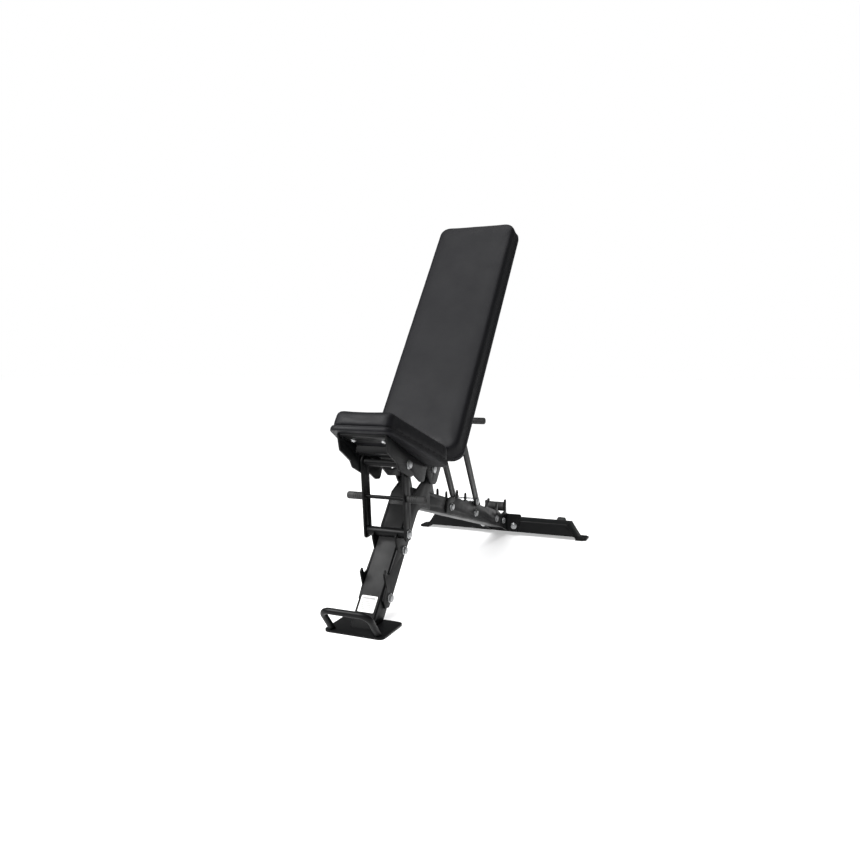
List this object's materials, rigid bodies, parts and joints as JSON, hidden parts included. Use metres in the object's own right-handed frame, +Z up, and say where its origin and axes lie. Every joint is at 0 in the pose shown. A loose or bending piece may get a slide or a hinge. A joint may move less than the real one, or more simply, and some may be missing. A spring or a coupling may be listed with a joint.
{
  "type": "adjustable weight bench",
  "caption": "Adjustable weight bench: long padded back and tapered padded seat that tilt on a shared pivot, propped by struts in toothed ladders on a sloping steel frame.",
  "frame": {"origin": "on the floor, at the middle of the footprint's bounding box", "axes": "+Z up, -Y towards the seat end, +Y towards the rear cross beam, +X to the left of a person who sits on the seat"},
  "size_m": [0.658, 1.332, 1.1082],
  "materials": {
    "frame_paint": "semi-matte black powder coat",
    "pad_vinyl": "matte black grained vinyl",
    "board": "matte black",
    "grip_rubber": "matte rubber",
    "zinc": "bright zinc",
    "label": "blank sticker",
    "wheel_tyre": "matte rubber",
    "wheel_hub": "moulded"
  },
  "bodies": {
    "frame": {"foot_plate": "frame_paint", "carry_handle": "frame_paint", "front_leg": "frame_paint", "leg_label": "label", "main_beam": "frame_paint", "tower_plate_left": "frame_paint", "tower_plate_right": "frame_paint", "seat_ladder_left": "frame_paint", "seat_ladder_right": "frame_paint", "back_ladder_left": "frame_paint", "back_ladder_right": "frame_paint", "end_bracket_left": "frame_paint", "end_bracket_right": "frame_paint", "end_stop": "grip_rubber", "rear_crossbeam": "frame_paint", "rear_foot_left": "frame_paint", "rear_foot_right": "frame_paint", "wheel_lugs": "frame_paint", "wheel_axles": "zinc", "frame_bolts": "zinc", "pivot_bolt": "zinc", "pivot_spacers": "zinc"},
    "seat": {"seat_pad": "pad_vinyl", "seat_board": "board", "seat_plate_left": "frame_paint", "seat_plate_right": "frame_paint", "seat_arm_left": "frame_paint", "seat_arm_right": "frame_paint", "seat_front_strap": "frame_paint", "seat_middle_bar": "frame_paint", "seat_rear_strap": "frame_paint", "seat_strut_bolt": "zinc", "seat_screws": "zinc"},
    "seat_strut": {"seat_strut_bar_left": "frame_paint", "seat_strut_bar_right": "frame_paint", "seat_strut_spacer": "frame_paint", "seat_cross_tube": "frame_paint", "seat_strut_rod": "frame_paint", "seat_strut_grips": "grip_rubber", "seat_strut_screws": "zinc"},
    "backrest": {"back_pad": "pad_vinyl", "back_board": "board", "back_rail_left": "frame_paint", "back_rail_right": "frame_paint", "back_strap_upper": "frame_paint", "back_strap_lower": "frame_paint", "back_strut_bolt": "zinc", "back_screws": "zinc"},
    "back_strut": {"back_strut_bar_left": "frame_paint", "back_strut_bar_right": "frame_paint", "back_strut_spacer": "frame_paint", "back_pin": "zinc", "back_strut_rod": "frame_paint", "back_strut_grips": "grip_rubber"},
    "wheel_left": {"tyre_left": "wheel_tyre", "hub_left": "wheel_hub"},
    "wheel_right": {"tyre_right": "wheel_tyre", "hub_right": "wheel_hub"}
  },
  "joints": [
    {"name": "backrest", "type": "hinge", "parent": "frame", "child": "backrest", "pos_m": [0, -0.23899, 0.351], "axis": [1, 0, 0], "range_deg": [0, 21]},
    {"name": "back_strut", "type": "hinge", "parent": "backrest", "child": "back_strut", "pos_m": [0, -0.05983, 0.5397], "axis": [1, 0, 0], "range_deg": [-18, 0]},
    {"name": "seat", "type": "hinge", "parent": "frame", "child": "seat", "pos_m": [0, -0.23899, 0.351], "axis": [-1, 0, 0], "range_deg": [0, 8]},
    {"name": "seat_strut", "type": "hinge", "parent": "seat", "child": "seat_strut", "pos_m": [0, -0.44204, 0.39099], "axis": [-1, 0, 0], "range_deg": [-8, 0]},
    {"name": "wheel_left", "type": "hinge", "parent": "frame", "child": "wheel_left", "pos_m": [0.215, 0.63801, 0.032], "axis": [1, 0, 0], "continuous": true},
    {"name": "wheel_right", "type": "hinge", "parent": "frame", "child": "wheel_right", "pos_m": [-0.215, 0.63801, 0.032], "axis": [1, 0, 0], "continuous": true}
  ],
  "couplings": [
    {"joint": "back_strut", "follows": "backrest", "ratio": -0.85},
    {"joint": "seat_strut", "follows": "seat", "ratio": -1}
  ]
}
